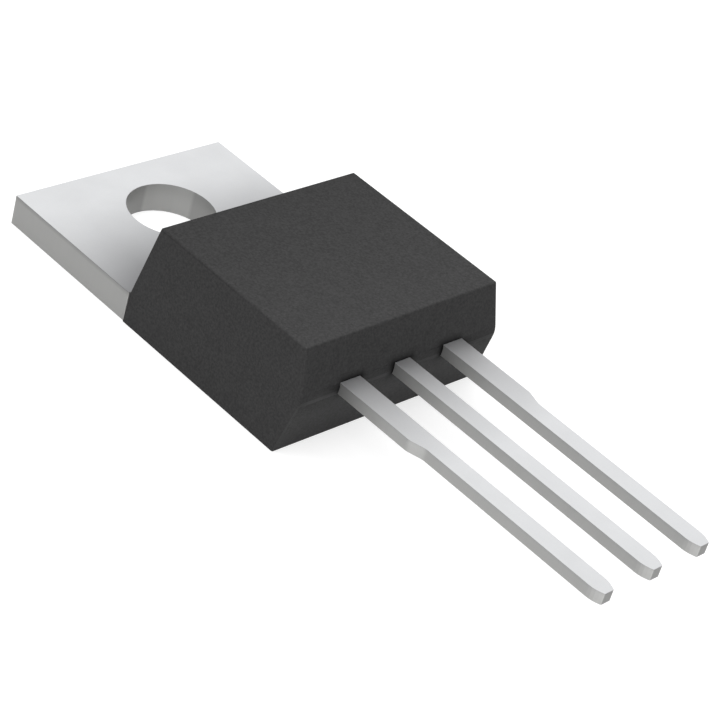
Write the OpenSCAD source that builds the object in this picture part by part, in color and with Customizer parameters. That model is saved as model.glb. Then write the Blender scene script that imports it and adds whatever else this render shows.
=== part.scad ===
// Triac in a moulded three-lead power package with a metal mounting tab.
//
// Millimetres, +Z up. The origin is on the axis of the mounting hole, at the
// back of the tab. The leads point along -Y and the tab's free end along +Y.
// The package lies on its back, the face that bolts to a heat sink.

/* [Tab] */
// Thickness of the tab, and of the pad that carries the die
tab_t = 1.27; // [1.0:0.01:1.6]
// Width of the tab outside the body
tab_w = 10.36; // [9.0:0.02:12.5]
// Length of the tab outside the body
tab_l = 6.94; // [6.0:0.01:8.4]
// Diameter of the mounting hole
hole_d = 3.6; // [3.0:0.05:4.4]
// Distance from the centre of the hole to the tab's free end
hole_to_end = 3.2; // [2.6:0.05:3.9]

/* [Body] */
// Length of the body, from the nose of its lead end to the tab
body_l = 9.08; // [7.4:0.01:10.8]
// Width of the body at its back
body_w = 10.44; // [8.6:0.01:12.6]
// Height of the body
body_h = 4.45; // [3.7:0.01:5.4]
// Draft of the two long sides, in degrees
side_draft = 4.2; // [0:0.1:6]
// Height of the parting line above the underside of the leads
parting_up = 0.27; // [0.1:0.01:0.45]
// Slope of the lead end above the parting line, in degrees
lead_end_draft = 15.8; // [5:0.1:20]
// Slope of the lead end below the parting line, in degrees
lead_end_back_draft = 12.1; // [5:0.1:16]
// Slope of the tab end above the tab, in degrees
tab_end_draft = 10.5; // [3:0.1:15]
// Radius of the moulded edges round the top
edge_r = 0.08; // [0.04:0.01:0.4]
// Radius of the moulded edges below the top
corner_r = 0.06; // [0.04:0.01:0.3]
// Radius of the blunt nose along the parting line
nose_r = 1.1; // [0.3:0.05:1.5]

/* [Leads] */
// Distance between neighbouring leads
pitch = 2.54; // [2.0:0.01:3.05]
// Thickness of the leads
lead_t = 0.49; // [0.4:0.01:0.6]
// Height of the underside of the leads above the tab's back
lead_z = 2.23; // [1.95:0.01:2.7]
// Width of a lead
lead_w = 0.78; // [0.6:0.01:1.0]
// Length of the leads outside the body
lead_l = 12.57; // [10.0:0.01:15.2]
// Extra width of the two outer leads next to the body, on their outer side
shoulder_w = 0.205; // [0.1:0.005:0.5]
// Length of that wide stretch outside the body
shoulder_l = 3.5; // [2.5:0.05:4.5]
// Length of the run from the wide stretch to the narrow one
shoulder_run = 0.65; // [0.5:0.05:1.0]
// Radius of the two curves of that run
shoulder_r = 0.6; // [0.2:0.05:0.8]
// Width of a lead at its tip
tip_w = 0.47; // [0.3:0.01:0.55]
// Length of the taper at the tip
tip_l = 0.36; // [0.2:0.01:0.6]
// Radius of the curve that leads into the taper
tip_r = 1.1; // [0.4:0.1:1.5]
// Radius of the tip's own corners
tip_corner_r = 0.07; // [0.02:0.01:0.12]

/* [Lead frame inside the body] */
// Depth of the bond posts behind the nose of the lead end
post_inset = 1.0; // [0.8:0.05:1.3]
// Length of a bond post
post_l = 1.9; // [1.6:0.05:2.3]
// Gap between a bond post and the centre lead
post_gap = 0.6; // [0.4:0.05:0.8]
// Distance by which a bond post stands out past its lead's wide stretch
post_ledge = 0.77; // [0.5:0.01:0.85]
// Radius of the corners of a bond post
post_r = 0.25; // [0.1:0.05:0.3]
// Width of the centre lead inside the body
neck_w = 1.3; // [1.1:0.05:1.6]
// Depth at which the centre lead widens
neck_inset = 0.8; // [0.7:0.05:1.0]
// Depth at which the centre lead starts to bend down
bend_inset = 1.5; // [1.2:0.05:1.8]
// Steepness of the bent stretch, in degrees
bend_angle = 60; // [45:1:70]
// Inner radius of the two bends
bend_r = 0.3; // [0.2:0.05:0.4]
// Flat stretch between the lower bend and the pad
neck_l = 0.3; // [0.2:0.05:0.6]
// Epoxy on each side of the pad, at the back
pad_wall = 1.1; // [0.8:0.05:1.4]
// Width of the step coined round the pad's back, which the epoxy grips
lock_w = 0.3; // [0.2:0.05:0.5]
// Height of that step
lock_h = 0.45; // [0.3:0.05:0.6]
// Width of the groove across the pad that keeps moisture from the die
groove_w = 0.3; // [0.2:0.05:0.4]
// Distance of the groove from the tab end of the body
groove_inset = 0.4; // [0.3:0.05:0.5]

/* [Die] */
// Width and length of the die
die_w = 3.4; // [2.8:0.05:4.2]
// Thickness of the die
die_t = 0.25; // [0.2:0.01:0.35]
// Width of the etched moat round both faces of the die
moat_w = 0.2; // [0.15:0.01:0.3]
// Depth of the moat
moat_d = 0.07; // [0.05:0.01:0.09]
// Thickness of the solder under the die
solder_t = 0.06; // [0.04:0.01:0.1]
// Solder standing out round the die
solder_margin = 0.1; // [0.05:0.01:0.2]

/* [Bond wires] */
// Diameter of the two wires to the first main terminal
main_wire_d = 0.38; // [0.3:0.01:0.5]
// Distance between those two wires
main_wire_pitch = 1.15; // [0.9:0.05:1.3]
// Diameter of the gate wire
gate_wire_d = 0.18; // [0.12:0.01:0.25]
// Distance of the thick wires' feet from the middle of the die, towards the tab
main_foot_y = 0.45; // [0:0.05:0.8]
// Distance of the gate wire's foot from the edges of the die
gate_foot_inset = 0.75; // [0.6:0.05:0.9]
// Height of a loop above its bond post, to the middle of the wire
loop_h = 0.5; // [0.4:0.05:0.6]
// Steepness of both sides of a loop, in degrees
loop_slope = 55; // [50:1:65]
// Radius of the thick wires' bends
main_bend_r = 0.5; // [0.4:0.05:0.6]
// Radius of the gate wire's bends
gate_bend_r = 0.3; // [0.2:0.05:0.4]
// Level stretch of a wire on each side of its foot's middle, in wire diameters
foot_run = 1.5; // [1.3:0.1:1.8]
// Length of a wire's flattened foot, in wire diameters
foot_l = 2.6; // [2:0.1:3]
// Width of the foot, in wire diameters
foot_w = 1.4; // [1.2:0.05:1.5]
// Height of the foot, in wire diameters
foot_h = 0.75; // [0.6:0.05:0.85]
// Height of a wire's middle above the face its foot is on, in wire diameters
foot_lift = 0.55; // [0.52:0.01:0.6]

/* [Hidden] */
$fn = 48;

// Colours
epoxy_colour = [0.22, 0.22, 0.23];
plated_colour = [0.78, 0.78, 0.77];
die_colour = [0.33, 0.34, 0.40];
solder_colour = [0.55, 0.56, 0.57];
wire_colour = [0.86, 0.87, 0.88];

// Levels, from the tab's back up
lead_top = lead_z + lead_t;
parting_z = lead_z + parting_up;
solder_top = tab_t + solder_t;
die_top = solder_top + die_t;

// Stations along Y, from the tab's free end to the tips of the leads
tab_end_y = hole_to_end;
body_tab_y = tab_end_y - tab_l;
body_nose_y = body_tab_y - body_l;
post_mid_y = body_nose_y + post_inset + post_l / 2;

// The down-set of the centre lead, whose top ends flush with the pad's top. Its
// two bends are where the middle lines of its runs meet, behind the body's nose.
strip_z = tab_t - lead_t;
bend_tangent = (bend_r + lead_t / 2) * tan(bend_angle / 2);
upper_bend_y = bend_inset + bend_tangent;
lower_bend_y = upper_bend_y + (lead_z - strip_z) / tan(bend_angle);
pad_y = body_nose_y + lower_bend_y + bend_tangent + neck_l;
pad_half = body_w / 2 - pad_wall;
groove_y = body_tab_y - groove_inset;
die_y = (pad_y + groove_y - groove_w / 2) / 2;

// Half the width of the body, and the Y of its two end faces, at a height
function body_half(z) = body_w / 2 - z * tan(side_draft);
function lead_face(z) = body_nose_y + (z - parting_z) * tan(lead_end_draft);
function tab_face(z) = body_tab_y - max(0, z - tab_t) * tan(tab_end_draft);

// Outer edge of a lead's wide stretch, and extent of its bond post
wide_x = pitch + lead_w / 2 + shoulder_w;
post_x0 = neck_w / 2 + post_gap;
post_x1 = wide_x + post_ledge;
post_mid_x = (post_x0 + post_x1) / 2;

function unit(v) = v / norm(v);
function turn(a, p, b) = cross(p - a, b - p);

// The web between the corner p of an outline and an arc of radius r that is
// tangent to its edges towards a and b. It reaches past the corner, so that
// it cuts an outer corner cleanly and sinks into an inner one.
module corner_web(a, p, b, r) {
    u = unit(a - p);
    v = unit(b - p);
    half = acos(u * v) / 2;
    centre = p + unit(u + v) * r / sin(half);
    tangent = r / tan(half);
    difference() {
        polygon([2 * p - centre, p + u * tangent, centre, p + v * tangent]);
        translate(centre) circle(r);
    }
}

// A polygon with rounded corners. Each corner is [x, y, radius], and they go
// round counter-clockwise. An inner corner is filled, an outer one is cut.
module rounded_outline(corners) {
    count = len(corners);
    function point(i) = [corners[i % count].x, corners[i % count].y];
    difference() {
        union() {
            polygon([for (i = [0 : count - 1]) point(i)]);
            for (i = [0 : count - 1])
                if (corners[i].z > 0 && turn(point(i + count - 1), point(i), point(i + 1)) < 0)
                    corner_web(point(i + count - 1), point(i), point(i + 1), corners[i].z);
        }
        for (i = [0 : count - 1])
            if (corners[i].z > 0 && turn(point(i + count - 1), point(i), point(i + 1)) > 0)
                corner_web(point(i + count - 1), point(i), point(i + 1), corners[i].z);
    }
}

// A ball that rounds a corner of the body. It touches the side and an end face
// whose slope is given, both at the height z.
module corner_ball(y, z, slope, r, towards_leads) {
    inset = (towards_leads ? 1 : -1) * r / cos(slope);
    for (side = [-1, 1])
        translate([side * (body_half(z) - r / cos(side_draft)), y + inset, z])
            sphere(r, $fn = 32);
}

// The balls that follow the blunt nose along the parting line
module nose_balls() {
    up = [-cos(lead_end_draft), sin(lead_end_draft)];
    down = [-cos(lead_end_back_draft), -sin(lead_end_back_draft)];
    centre = [body_nose_y, parting_z] - (up + down) * nose_r / (1 + up * down);
    steps = 6;
    for (i = [0 : steps]) {
        angle = lead_end_back_draft - i * (lead_end_back_draft + lead_end_draft) / steps;
        reach = nose_r - corner_r;
        y = centre.x - reach * cos(angle);
        z = centre.y - reach * sin(angle);
        for (side = [-1, 1])
            translate([side * (body_half(z) - corner_r / cos(side_draft)), y, z])
                sphere(corner_r, $fn = 32);
    }
}

// The outer form of the moulding, with drafted faces and rounded edges. The
// balls at its back are cut through the middle, so its back edges are sharp.
module body_form() {
    top_z = body_h - edge_r;
    back_y = body_nose_y + parting_z * tan(lead_end_back_draft);
    intersection() {
        hull() {
            corner_ball(lead_face(top_z), top_z, lead_end_draft, edge_r, true);
            corner_ball(tab_face(top_z), top_z, tab_end_draft, edge_r, false);
            nose_balls();
            corner_ball(back_y, 0, lead_end_back_draft, corner_r, true);
            corner_ball(body_tab_y, tab_t, 0, corner_r, false);
            corner_ball(body_tab_y, 0, 0, corner_r, false);
        }
        translate([-body_w, body_nose_y - 1, 0])
            cube([2 * body_w, body_l + 2, body_h + 1]);
    }
}

// The moulding, which fills every space round what it holds
module epoxy_body() {
    color(epoxy_colour)
    difference() {
        body_form();
        tab_and_mt2_lead();
        mt1_lead();
        gate_lead();
        silicon_die();
        die_solder();
        mt1_bond_wire_1();
        mt1_bond_wire_2();
        gate_bond_wire();
    }
}

// Half of a lead's tip in plan, as corners of an outline. The tip narrows along
// a curve. Y is measured from the nose of the body's lead end.
tip_half = [[tip_w / 2, -lead_l, tip_corner_r], [lead_w / 2, tip_l - lead_l, tip_r]];

// Corners mirrored to the other side, in the opposite order
function other_side(corners) =
    [for (i = [len(corners) - 1 : -1 : 0]) [-corners[i].x, corners[i].y, corners[i].z]];

// The tab with the pad for the die and the second main terminal's lead: one
// stamping from strip that is thick at the tab and thin at the leads
module tab_and_mt2_lead() {
    color(plated_colour) {
        tab_and_pad();
        translate([0, body_nose_y, 0]) {
            neck();
            centre_lead();
        }
    }
}

// The tab outside the body, and the pad inside it. The pad is open at the back,
// and has a coined step that the epoxy grips and a groove across its top.
module tab_and_pad() {
    pad_l = body_tab_y - pad_y;
    difference() {
        linear_extrude(tab_t) difference() {
            union() {
                translate([-tab_w / 2, body_tab_y]) square([tab_w, tab_l]);
                translate([-pad_half, pad_y]) square([2 * pad_half, pad_l + lock_w]);
            }
            circle(d = hole_d, $fn = 96);
        }
        translate([0, body_tab_y, 0]) mirror([0, 1, 0]) {
            for (side = [-1, 1])
                translate([side * pad_half - lock_w, 0, -1])
                    cube([2 * lock_w, pad_l + 1, lock_h + 1]);
            translate([-pad_half - 1, pad_l - lock_w, -1])
                cube([2 * pad_half + 2, 1, lock_h + 1]);
        }
        translate([0, groove_y, tab_t])
            rotate([45, 0, 0])
                cube([2 * pad_half + 2, groove_w / sqrt(2), groove_w / sqrt(2)], center = true);
    }
}

// The straight outer stretch of the centre lead, up to its bend
module centre_lead() {
    end = [[lead_w / 2, bend_inset, 0]];
    half = concat(tip_half, end);
    translate([0, 0, lead_z])
        linear_extrude(lead_t) rounded_outline(concat(half, other_side(half)));
}

// The broad, bent stretch of the centre lead inside the body, down to the pad.
// It is drawn from the side, with Y to the right.
module neck() {
    shift = lead_t / 2 * tan(bend_angle / 2);
    end_y = pad_y + lock_w - body_nose_y;
    outer_r = bend_r + lead_t;
    translate([-neck_w / 2, 0, 0])
        rotate([90, 0, 90])
            linear_extrude(neck_w)
                rounded_outline([
                    [neck_inset, lead_z, 0],
                    [upper_bend_y - shift, lead_z, bend_r],
                    [lower_bend_y - shift, strip_z, outer_r],
                    [end_y, strip_z, 0],
                    [end_y, tab_t, 0],
                    [lower_bend_y + shift, tab_t, bend_r],
                    [upper_bend_y + shift, lead_top, outer_r],
                    [neck_inset, lead_top, 0]
                ]);
}

// An outer lead on the +X side: narrow at the tip, wide next to the body on its
// outer side, and with a broad post inside the body that takes its wires
module outer_lead() {
    inner_x = pitch - lead_w / 2;
    post_end = post_inset + post_l;
    bar = [for (c = concat(other_side(tip_half), tip_half)) [c.x + pitch, c.y, c.z]];
    translate([0, body_nose_y, lead_z])
        linear_extrude(lead_t)
            rounded_outline([
                for (c = bar) c,
                [pitch + lead_w / 2, -shoulder_l - shoulder_run, shoulder_r],
                [wide_x, -shoulder_l, shoulder_r],
                [wide_x, post_inset, 0],
                [post_x1, post_inset, post_r],
                [post_x1, post_end, post_r],
                [post_x0, post_end, post_r],
                [post_x0, post_inset, post_r],
                [inner_x, post_inset, 0]
            ]);
}

// Lead of the first main terminal
module mt1_lead() {
    color(plated_colour) mirror([1, 0, 0]) outer_lead();
}

// Lead of the gate
module gate_lead() {
    color(plated_colour) outer_lead();
}

// A square plate centred on the die's place
module die_plate(w, low, high) {
    translate([-w / 2, die_y - w / 2, low]) cube([w, w, high - low]);
}

// The silicon chip, with a moat etched round both faces
module silicon_die() {
    color(die_colour) {
        die_plate(die_w - 2 * moat_w, solder_top, solder_top + moat_d);
        die_plate(die_w, solder_top + moat_d, die_top - moat_d);
        die_plate(die_w - 2 * moat_w, die_top - moat_d, die_top);
    }
}

// The solder that joins the die to the pad
module die_solder() {
    color(solder_colour)
        die_plate(die_w + 2 * solder_margin, tab_t, solder_top);
}

// A wire is a chain of straight runs and bends. Each is drawn from the origin
// along +X, and carries what follows it. A positive angle bends upwards.
module wire_run(d, l) {
    rotate([0, 90, 0]) cylinder(h = l, d = d, $fn = 24);
    translate([l, 0, 0]) children();
}

module wire_bend(d, r, angle) {
    if (angle < 0)
        mirror([0, 0, 1]) wire_bend(d, r, -angle) mirror([0, 0, 1]) children();
    else
        translate([0, 0, r]) {
            rotate([90, 0, 0]) rotate(-90)
                rotate_extrude(angle = angle)
                    translate([r, 0]) circle(d = d, $fn = 24);
            rotate([0, -angle, 0]) translate([0, 0, -r]) children();
        }
}

// The foot of a wedge-bonded wire, flattened on the face below it
module wire_foot(d) {
    half_l = (foot_l - foot_w) * d / 2;
    linear_extrude(foot_h * d) {
        square([2 * half_l, foot_w * d], center = true);
        for (end = [-half_l, half_l])
            translate([end, 0]) circle(d = foot_w * d, $fn = 24);
    }
}

// A wire of diameter d, with bends of radius r, from a point on the die over a
// loop to a point on a bond post. The runs are found between the corners of its
// path, and each bend then takes a tangent's length from both of its runs.
module bond_wire(d, r, start, end) {
    span = norm(end - start);
    climb = lead_top - die_top;
    reach = span - 2 * foot_run * d;
    top_run = reach - (climb + 2 * loop_h) / tan(loop_slope);
    tangent = r * tan(loop_slope / 2);
    translate([start.x, start.y, die_top])
        rotate(atan2(end.y - start.y, end.x - start.x)) {
            wire_foot(d);
            translate([0, 0, foot_lift * d])
                wire_run(d, foot_run * d - tangent)
                wire_bend(d, r, loop_slope)
                wire_run(d, (climb + loop_h) / sin(loop_slope) - 2 * tangent)
                wire_bend(d, r, -loop_slope)
                wire_run(d, top_run - 2 * tangent)
                wire_bend(d, r, -loop_slope)
                wire_run(d, loop_h / sin(loop_slope) - 2 * tangent)
                wire_bend(d, r, loop_slope)
                wire_run(d, foot_run * d - tangent);
            translate([span, 0, climb]) wire_foot(d);
        }
}

// One of the two thick wires, which lie side by side
module mt1_bond_wire(side) {
    shift = side * main_wire_pitch / 2;
    start = [shift - main_wire_pitch / 2, die_y + main_foot_y];
    end = [shift - post_mid_x, post_mid_y];
    color(wire_colour) bond_wire(main_wire_d, main_bend_r, start, end);
}

module mt1_bond_wire_1() {
    mt1_bond_wire(-1);
}

module mt1_bond_wire_2() {
    mt1_bond_wire(1);
}

// The thin wire, from the gate's corner of the die
module gate_bond_wire() {
    corner = die_w / 2 - gate_foot_inset;
    start = [corner, die_y - corner];
    end = [post_mid_x, post_mid_y];
    color(wire_colour) bond_wire(gate_wire_d, gate_bend_r, start, end);
}

epoxy_body();
tab_and_mt2_lead();
mt1_lead();
gate_lead();
silicon_die();
die_solder();
mt1_bond_wire_1();
mt1_bond_wire_2();
gate_bond_wire();
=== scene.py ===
# %% [markdown]
# # A triac in a moulded power package
#
# A triac switches alternating current. This one is made as a stamped copper
# frame, plated with tin, half of which is buried in a block of black epoxy. The
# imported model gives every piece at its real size. This lesson gives each piece
# its edges and its finish, then builds a plain studio round it.
#
# The box of the whole object is taken straight away, because nothing added
# later may change it.

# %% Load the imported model
import math

import bmesh
import bpy
from mathutils import Matrix, Quaternion, Vector


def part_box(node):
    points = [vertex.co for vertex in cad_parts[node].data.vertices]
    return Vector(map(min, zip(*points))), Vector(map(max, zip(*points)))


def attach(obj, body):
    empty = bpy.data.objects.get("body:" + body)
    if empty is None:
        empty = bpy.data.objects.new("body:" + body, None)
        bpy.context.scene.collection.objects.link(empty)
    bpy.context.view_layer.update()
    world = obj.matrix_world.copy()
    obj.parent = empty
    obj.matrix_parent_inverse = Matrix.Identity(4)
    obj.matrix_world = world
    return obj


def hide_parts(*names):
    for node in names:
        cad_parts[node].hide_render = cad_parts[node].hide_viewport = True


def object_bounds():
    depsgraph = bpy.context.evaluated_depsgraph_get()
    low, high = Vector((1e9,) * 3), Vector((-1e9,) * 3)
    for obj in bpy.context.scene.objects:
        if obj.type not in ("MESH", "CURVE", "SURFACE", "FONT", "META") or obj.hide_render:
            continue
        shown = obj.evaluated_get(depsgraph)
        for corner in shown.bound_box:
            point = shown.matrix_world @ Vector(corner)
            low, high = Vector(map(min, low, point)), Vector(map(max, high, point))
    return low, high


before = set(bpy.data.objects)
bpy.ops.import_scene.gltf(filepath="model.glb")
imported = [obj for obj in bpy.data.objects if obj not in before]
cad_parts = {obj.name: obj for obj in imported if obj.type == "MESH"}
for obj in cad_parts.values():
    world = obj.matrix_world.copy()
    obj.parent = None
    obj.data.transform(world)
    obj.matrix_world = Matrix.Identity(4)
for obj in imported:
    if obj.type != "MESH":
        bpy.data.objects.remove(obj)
cad_low, cad_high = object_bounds()
print("nodes:", ", ".join(sorted(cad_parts)))
print("size in mm:", [round(side * 1000, 2) for side in cad_high - cad_low])

# %% [markdown]
# ## The camera
#
# The package is about the size of a thumbnail, so it is looked at from less than
# ten centimetres, and a long lens makes it fill the view. A place given in
# coordinates would say little, so the camera is set by the point it looks at, the
# side and the height it looks from, its distance and how far it is tilted.

# %% Camera
MM = 0.001
AIM = Vector((1.72, -9.45, 0.0)) * MM
AZIMUTH = -52.56
ELEVATION = 33.96
DISTANCE = 93.04 * MM
TILT = 16.29
LENS = 124.2


def new_object(name, data):
    """An object of that name, placed in the scene at the origin."""
    made = bpy.data.objects.new(name, data)
    bpy.context.scene.collection.objects.link(made)
    return made


def camera_place(azimuth, elevation, tilt, distance, aim):
    """Where a camera stands that looks at aim from azimuth, measured from -Y, and elevation."""
    side, rise = math.radians(azimuth), math.radians(elevation)
    back = Vector((math.sin(side) * math.cos(rise), -math.cos(side) * math.cos(rise), math.sin(rise)))
    turn = (-back).to_track_quat("-Z", "Y") @ Quaternion((0, 0, 1), math.radians(tilt))
    return Matrix.LocRotScale(aim + back * distance, turn, None)


camera_data = bpy.data.cameras.new("studio_camera")
camera_data.lens = LENS
camera_data.sensor_width = 36.0
camera_data.clip_start = 1 * MM
camera_data.clip_end = 10.0
camera = new_object("studio_camera", camera_data)
camera.matrix_world = camera_place(AZIMUTH, ELEVATION, TILT, DISTANCE, AIM)
bpy.context.scene.camera = camera
bpy.context.scene.view_settings.view_transform = "Standard"
print("camera at", [round(v, 5) for v in camera.location])

# %% [markdown]
# ## Writing node trees by hand
#
# Every finish here is a node tree. Placing a node takes the same three steps each
# time: add it, set its options, then fill or link its inputs. One helper does all
# three, so that a tree reads as a list of what it holds. An input that is given a
# socket is linked to it, and any other value is typed into it.
#
# The nodes that are used most get a helper of their own, which returns what the
# node puts out. So a calculation reads from the inside out, like a formula.

# %% Helpers for node trees
def place(tree, kind, inputs=None, **options):
    """Adds a node of that kind, with its options set and its inputs filled or linked."""
    node = tree.nodes.new(kind)
    for name, value in options.items():
        setattr(node, name, value)
    for name, value in (inputs or {}).items():
        if isinstance(value, bpy.types.NodeSocket):
            tree.links.new(value, node.inputs[name])
        else:
            node.inputs[name].default_value = value
    return node


def math_node(tree, operation, a, b=0.0, clamp=False):
    """The result of a Math node on two sockets or numbers."""
    return place(tree, "ShaderNodeMath", {0: a, 1: b}, operation=operation, use_clamp=clamp).outputs[0]


def mix_values(tree, factor, a, b):
    """The number between a and b at factor."""
    return place(tree, "ShaderNodeMix", {0: factor, 2: a, 3: b}).outputs[0]


def mix_colours(tree, factor, a, b):
    """The colour between a and b at factor."""
    return place(tree, "ShaderNodeMix", {0: factor, 6: a, 7: b}, data_type="RGBA").outputs[2]


def ramp(tree, value, start, end, at_start=0.0, at_end=1.0):
    """A number that goes from at_start to at_end while the value goes from start to end."""
    return place(tree, "ShaderNodeMapRange", {"Value": value, "From Min": start, "From Max": end,
                                              "To Min": at_start, "To Max": at_end}).outputs["Result"]


def split_up(tree, vector):
    """The X, Y and Z of a vector."""
    return place(tree, "ShaderNodeSeparateXYZ", {0: vector}).outputs


def length_of(tree, vector):
    """The length of a vector."""
    return place(tree, "ShaderNodeVectorMath", {0: vector}, operation="LENGTH").outputs["Value"]


# %% [markdown]
# ## Materials and groups
#
# An effect that several finishes share is built once, as a node group. Its inputs
# have names and starting values, so each material can set its own sizes. Finishes
# read Object coordinates. Every piece sits at the origin, so those are also the
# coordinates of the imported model.

# %% Helpers for materials and groups
def new_group(name, kind, inputs, outputs):
    """A node group with named sockets, its input node's sockets, and its output node's."""
    group = bpy.data.node_groups.new(name, kind)
    for label, socket_type, value in inputs:
        item = group.interface.new_socket(name=label, in_out="INPUT", socket_type=socket_type)
        if value is not None:
            item.default_value = value
    for label, socket_type in outputs:
        group.interface.new_socket(name=label, in_out="OUTPUT", socket_type=socket_type)
    print("group:", name, "with inputs", [label for label, _, _ in inputs])
    return group, group.nodes.new("NodeGroupInput").outputs, group.nodes.new("NodeGroupOutput").inputs


def use_group(tree, group, inputs):
    """Places a shader node group in a tree, and returns its outputs."""
    return place(tree, "ShaderNodeGroup", inputs, node_tree=group).outputs


def new_material(name):
    """A new material, its node tree and its Principled shader."""
    material = bpy.data.materials.new(name)
    material.use_nodes = True
    print("material:", name)
    return material, material.node_tree, material.node_tree.nodes["Principled BSDF"]


def object_position(tree):
    """Where a point of a piece is."""
    return place(tree, "ShaderNodeTexCoord").outputs["Object"]


def face_mark(tree, name):
    """The number that the faces of a piece carry under a name."""
    return place(tree, "ShaderNodeAttribute", attribute_name=name).outputs["Fac"]


def add_bump(tree, shader, height, strength, distance):
    """Bends the shading by a height, which doesn't move the surface."""
    bump = place(tree, "ShaderNodeBump", {"Height": height, "Strength": strength, "Distance": distance})
    tree.links.new(bump.outputs["Normal"], shader.inputs["Normal"])


# %% [markdown]
# ## Grain, shared by every finish
#
# Moulded epoxy and plated metal both have a grain that is far too fine to model:
# a few hundredths of a millimetre. One group makes it from two layers of noise,
# a fine one and a coarse one. It puts out one value, which each material uses for
# its colour or its roughness, and as a height for bump.

# %% Node group: grain
def build_grain():
    group, given, result = new_group(
        "grain", "ShaderNodeTree",
        [("Position", "NodeSocketVector", None),
         ("Fine Size", "NodeSocketFloat", 0.05 * MM),
         ("Coarse Size", "NodeSocketFloat", 0.5 * MM),
         ("Coarse Share", "NodeSocketFloat", 0.4)],
        [("Value", "NodeSocketFloat")])
    layers = []
    for label, detail in (("Fine Size", 3.0), ("Coarse Size", 2.0)):
        scale = math_node(group, "DIVIDE", 1.0, given[label])
        noise = place(group, "ShaderNodeTexNoise",
                      {"Vector": given["Position"], "Scale": scale, "Detail": detail, "Roughness": 0.6})
        layers.append(noise.outputs["Fac"])
    group.links.new(mix_values(group, given["Coarse Share"], *layers), result["Value"])
    return group


GRAIN = build_grain()


def use_grain(tree, position, fine, coarse, coarse_share):
    """The value of the grain at a position, for a finish with these sizes of grain."""
    return use_group(tree, GRAIN, {"Position": position, "Fine Size": fine, "Coarse Size": coarse,
                                   "Coarse Share": coarse_share})["Value"]


# %% [markdown]
# ## Edge light and shade, shared by epoxy and plating
#
# The pieces below carry an attribute, `edge`, that is above 0 on the narrow faces of their rounded edges.
# This group reads it and breaks it up with noise into patches. Each material decides what the mask means: a
# painted highlight, a paler line, on epoxy, and painted shade, a slightly darker line, on plated metal.

# %% Node group: edge light and shade
def build_edge_light_and_shade():
    group, given, result = new_group(
        "edge_light_and_shade", "ShaderNodeTree",
        [("Position", "NodeSocketVector", None),
         ("Patch Size", "NodeSocketFloat", 0.6 * MM),
         ("Amount", "NodeSocketFloat", 1.0)],
        [("Mask", "NodeSocketFloat")])
    scale = math_node(group, "DIVIDE", 1.0, given["Patch Size"])
    noise = place(group, "ShaderNodeTexNoise", {"Vector": given["Position"], "Scale": scale, "Detail": 2.0})
    patches = ramp(group, noise.outputs["Fac"], 0.3, 0.6, 0.5, 1.0)
    patchy_edge = math_node(group, "MULTIPLY", face_mark(group, "edge"), patches)
    amount = math_node(group, "MULTIPLY", patchy_edge, given["Amount"], clamp=True)
    group.links.new(amount, result["Mask"])
    return group


EDGE_LIGHT_AND_SHADE = build_edge_light_and_shade()

# %% [markdown]
# ## Painted shade near the body
#
# Plated metal is painted darker where it leaves the moulding, as the shade that the black body throws on it,
# and the painted shade fades out with distance. A mask drawn in an image would have to be redrawn for every
# size, so the group measures how far a point is from the body along Y. There is no painted shade below a
# lowest level, so the back of the tab has none.

# %% Node group: painted shade near the body
def build_painted_body_shade():
    group, given, result = new_group(
        "painted_body_shade", "ShaderNodeTree",
        [("Position", "NodeSocketVector", None),
         ("Middle", "NodeSocketFloat", 0.0),
         ("Half Length", "NodeSocketFloat", 4.5 * MM),
         ("Reach", "NodeSocketFloat", 5.5 * MM),
         ("Falloff", "NodeSocketFloat", 1.25),
         ("Lowest", "NodeSocketFloat", 0.5 * MM)],
        [("Mask", "NodeSocketFloat")])
    split = split_up(group, given["Position"])
    away = math_node(group, "ABSOLUTE", math_node(group, "SUBTRACT", split["Y"], given["Middle"]))
    away = math_node(group, "SUBTRACT", away, given["Half Length"])
    near = math_node(group, "SUBTRACT", 1.0, math_node(group, "DIVIDE", away, given["Reach"]), clamp=True)
    fading = math_node(group, "POWER", near, given["Falloff"])
    above = math_node(group, "GREATER_THAN", split["Z"], given["Lowest"])
    group.links.new(math_node(group, "MULTIPLY", fading, above), result["Mask"])
    return group


PAINTED_BODY_SHADE = build_painted_body_shade()

# %% [markdown]
# ## Painted shade round the leads
#
# The moulding is painted darkest where a lead comes out of it, as the shade in the corner round each lead.
# This group measures the distance to the nearest of three leads that stand in a row, and puts out a mask
# that is 1 at the lead and fades away from it on the faces at that end.

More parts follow.
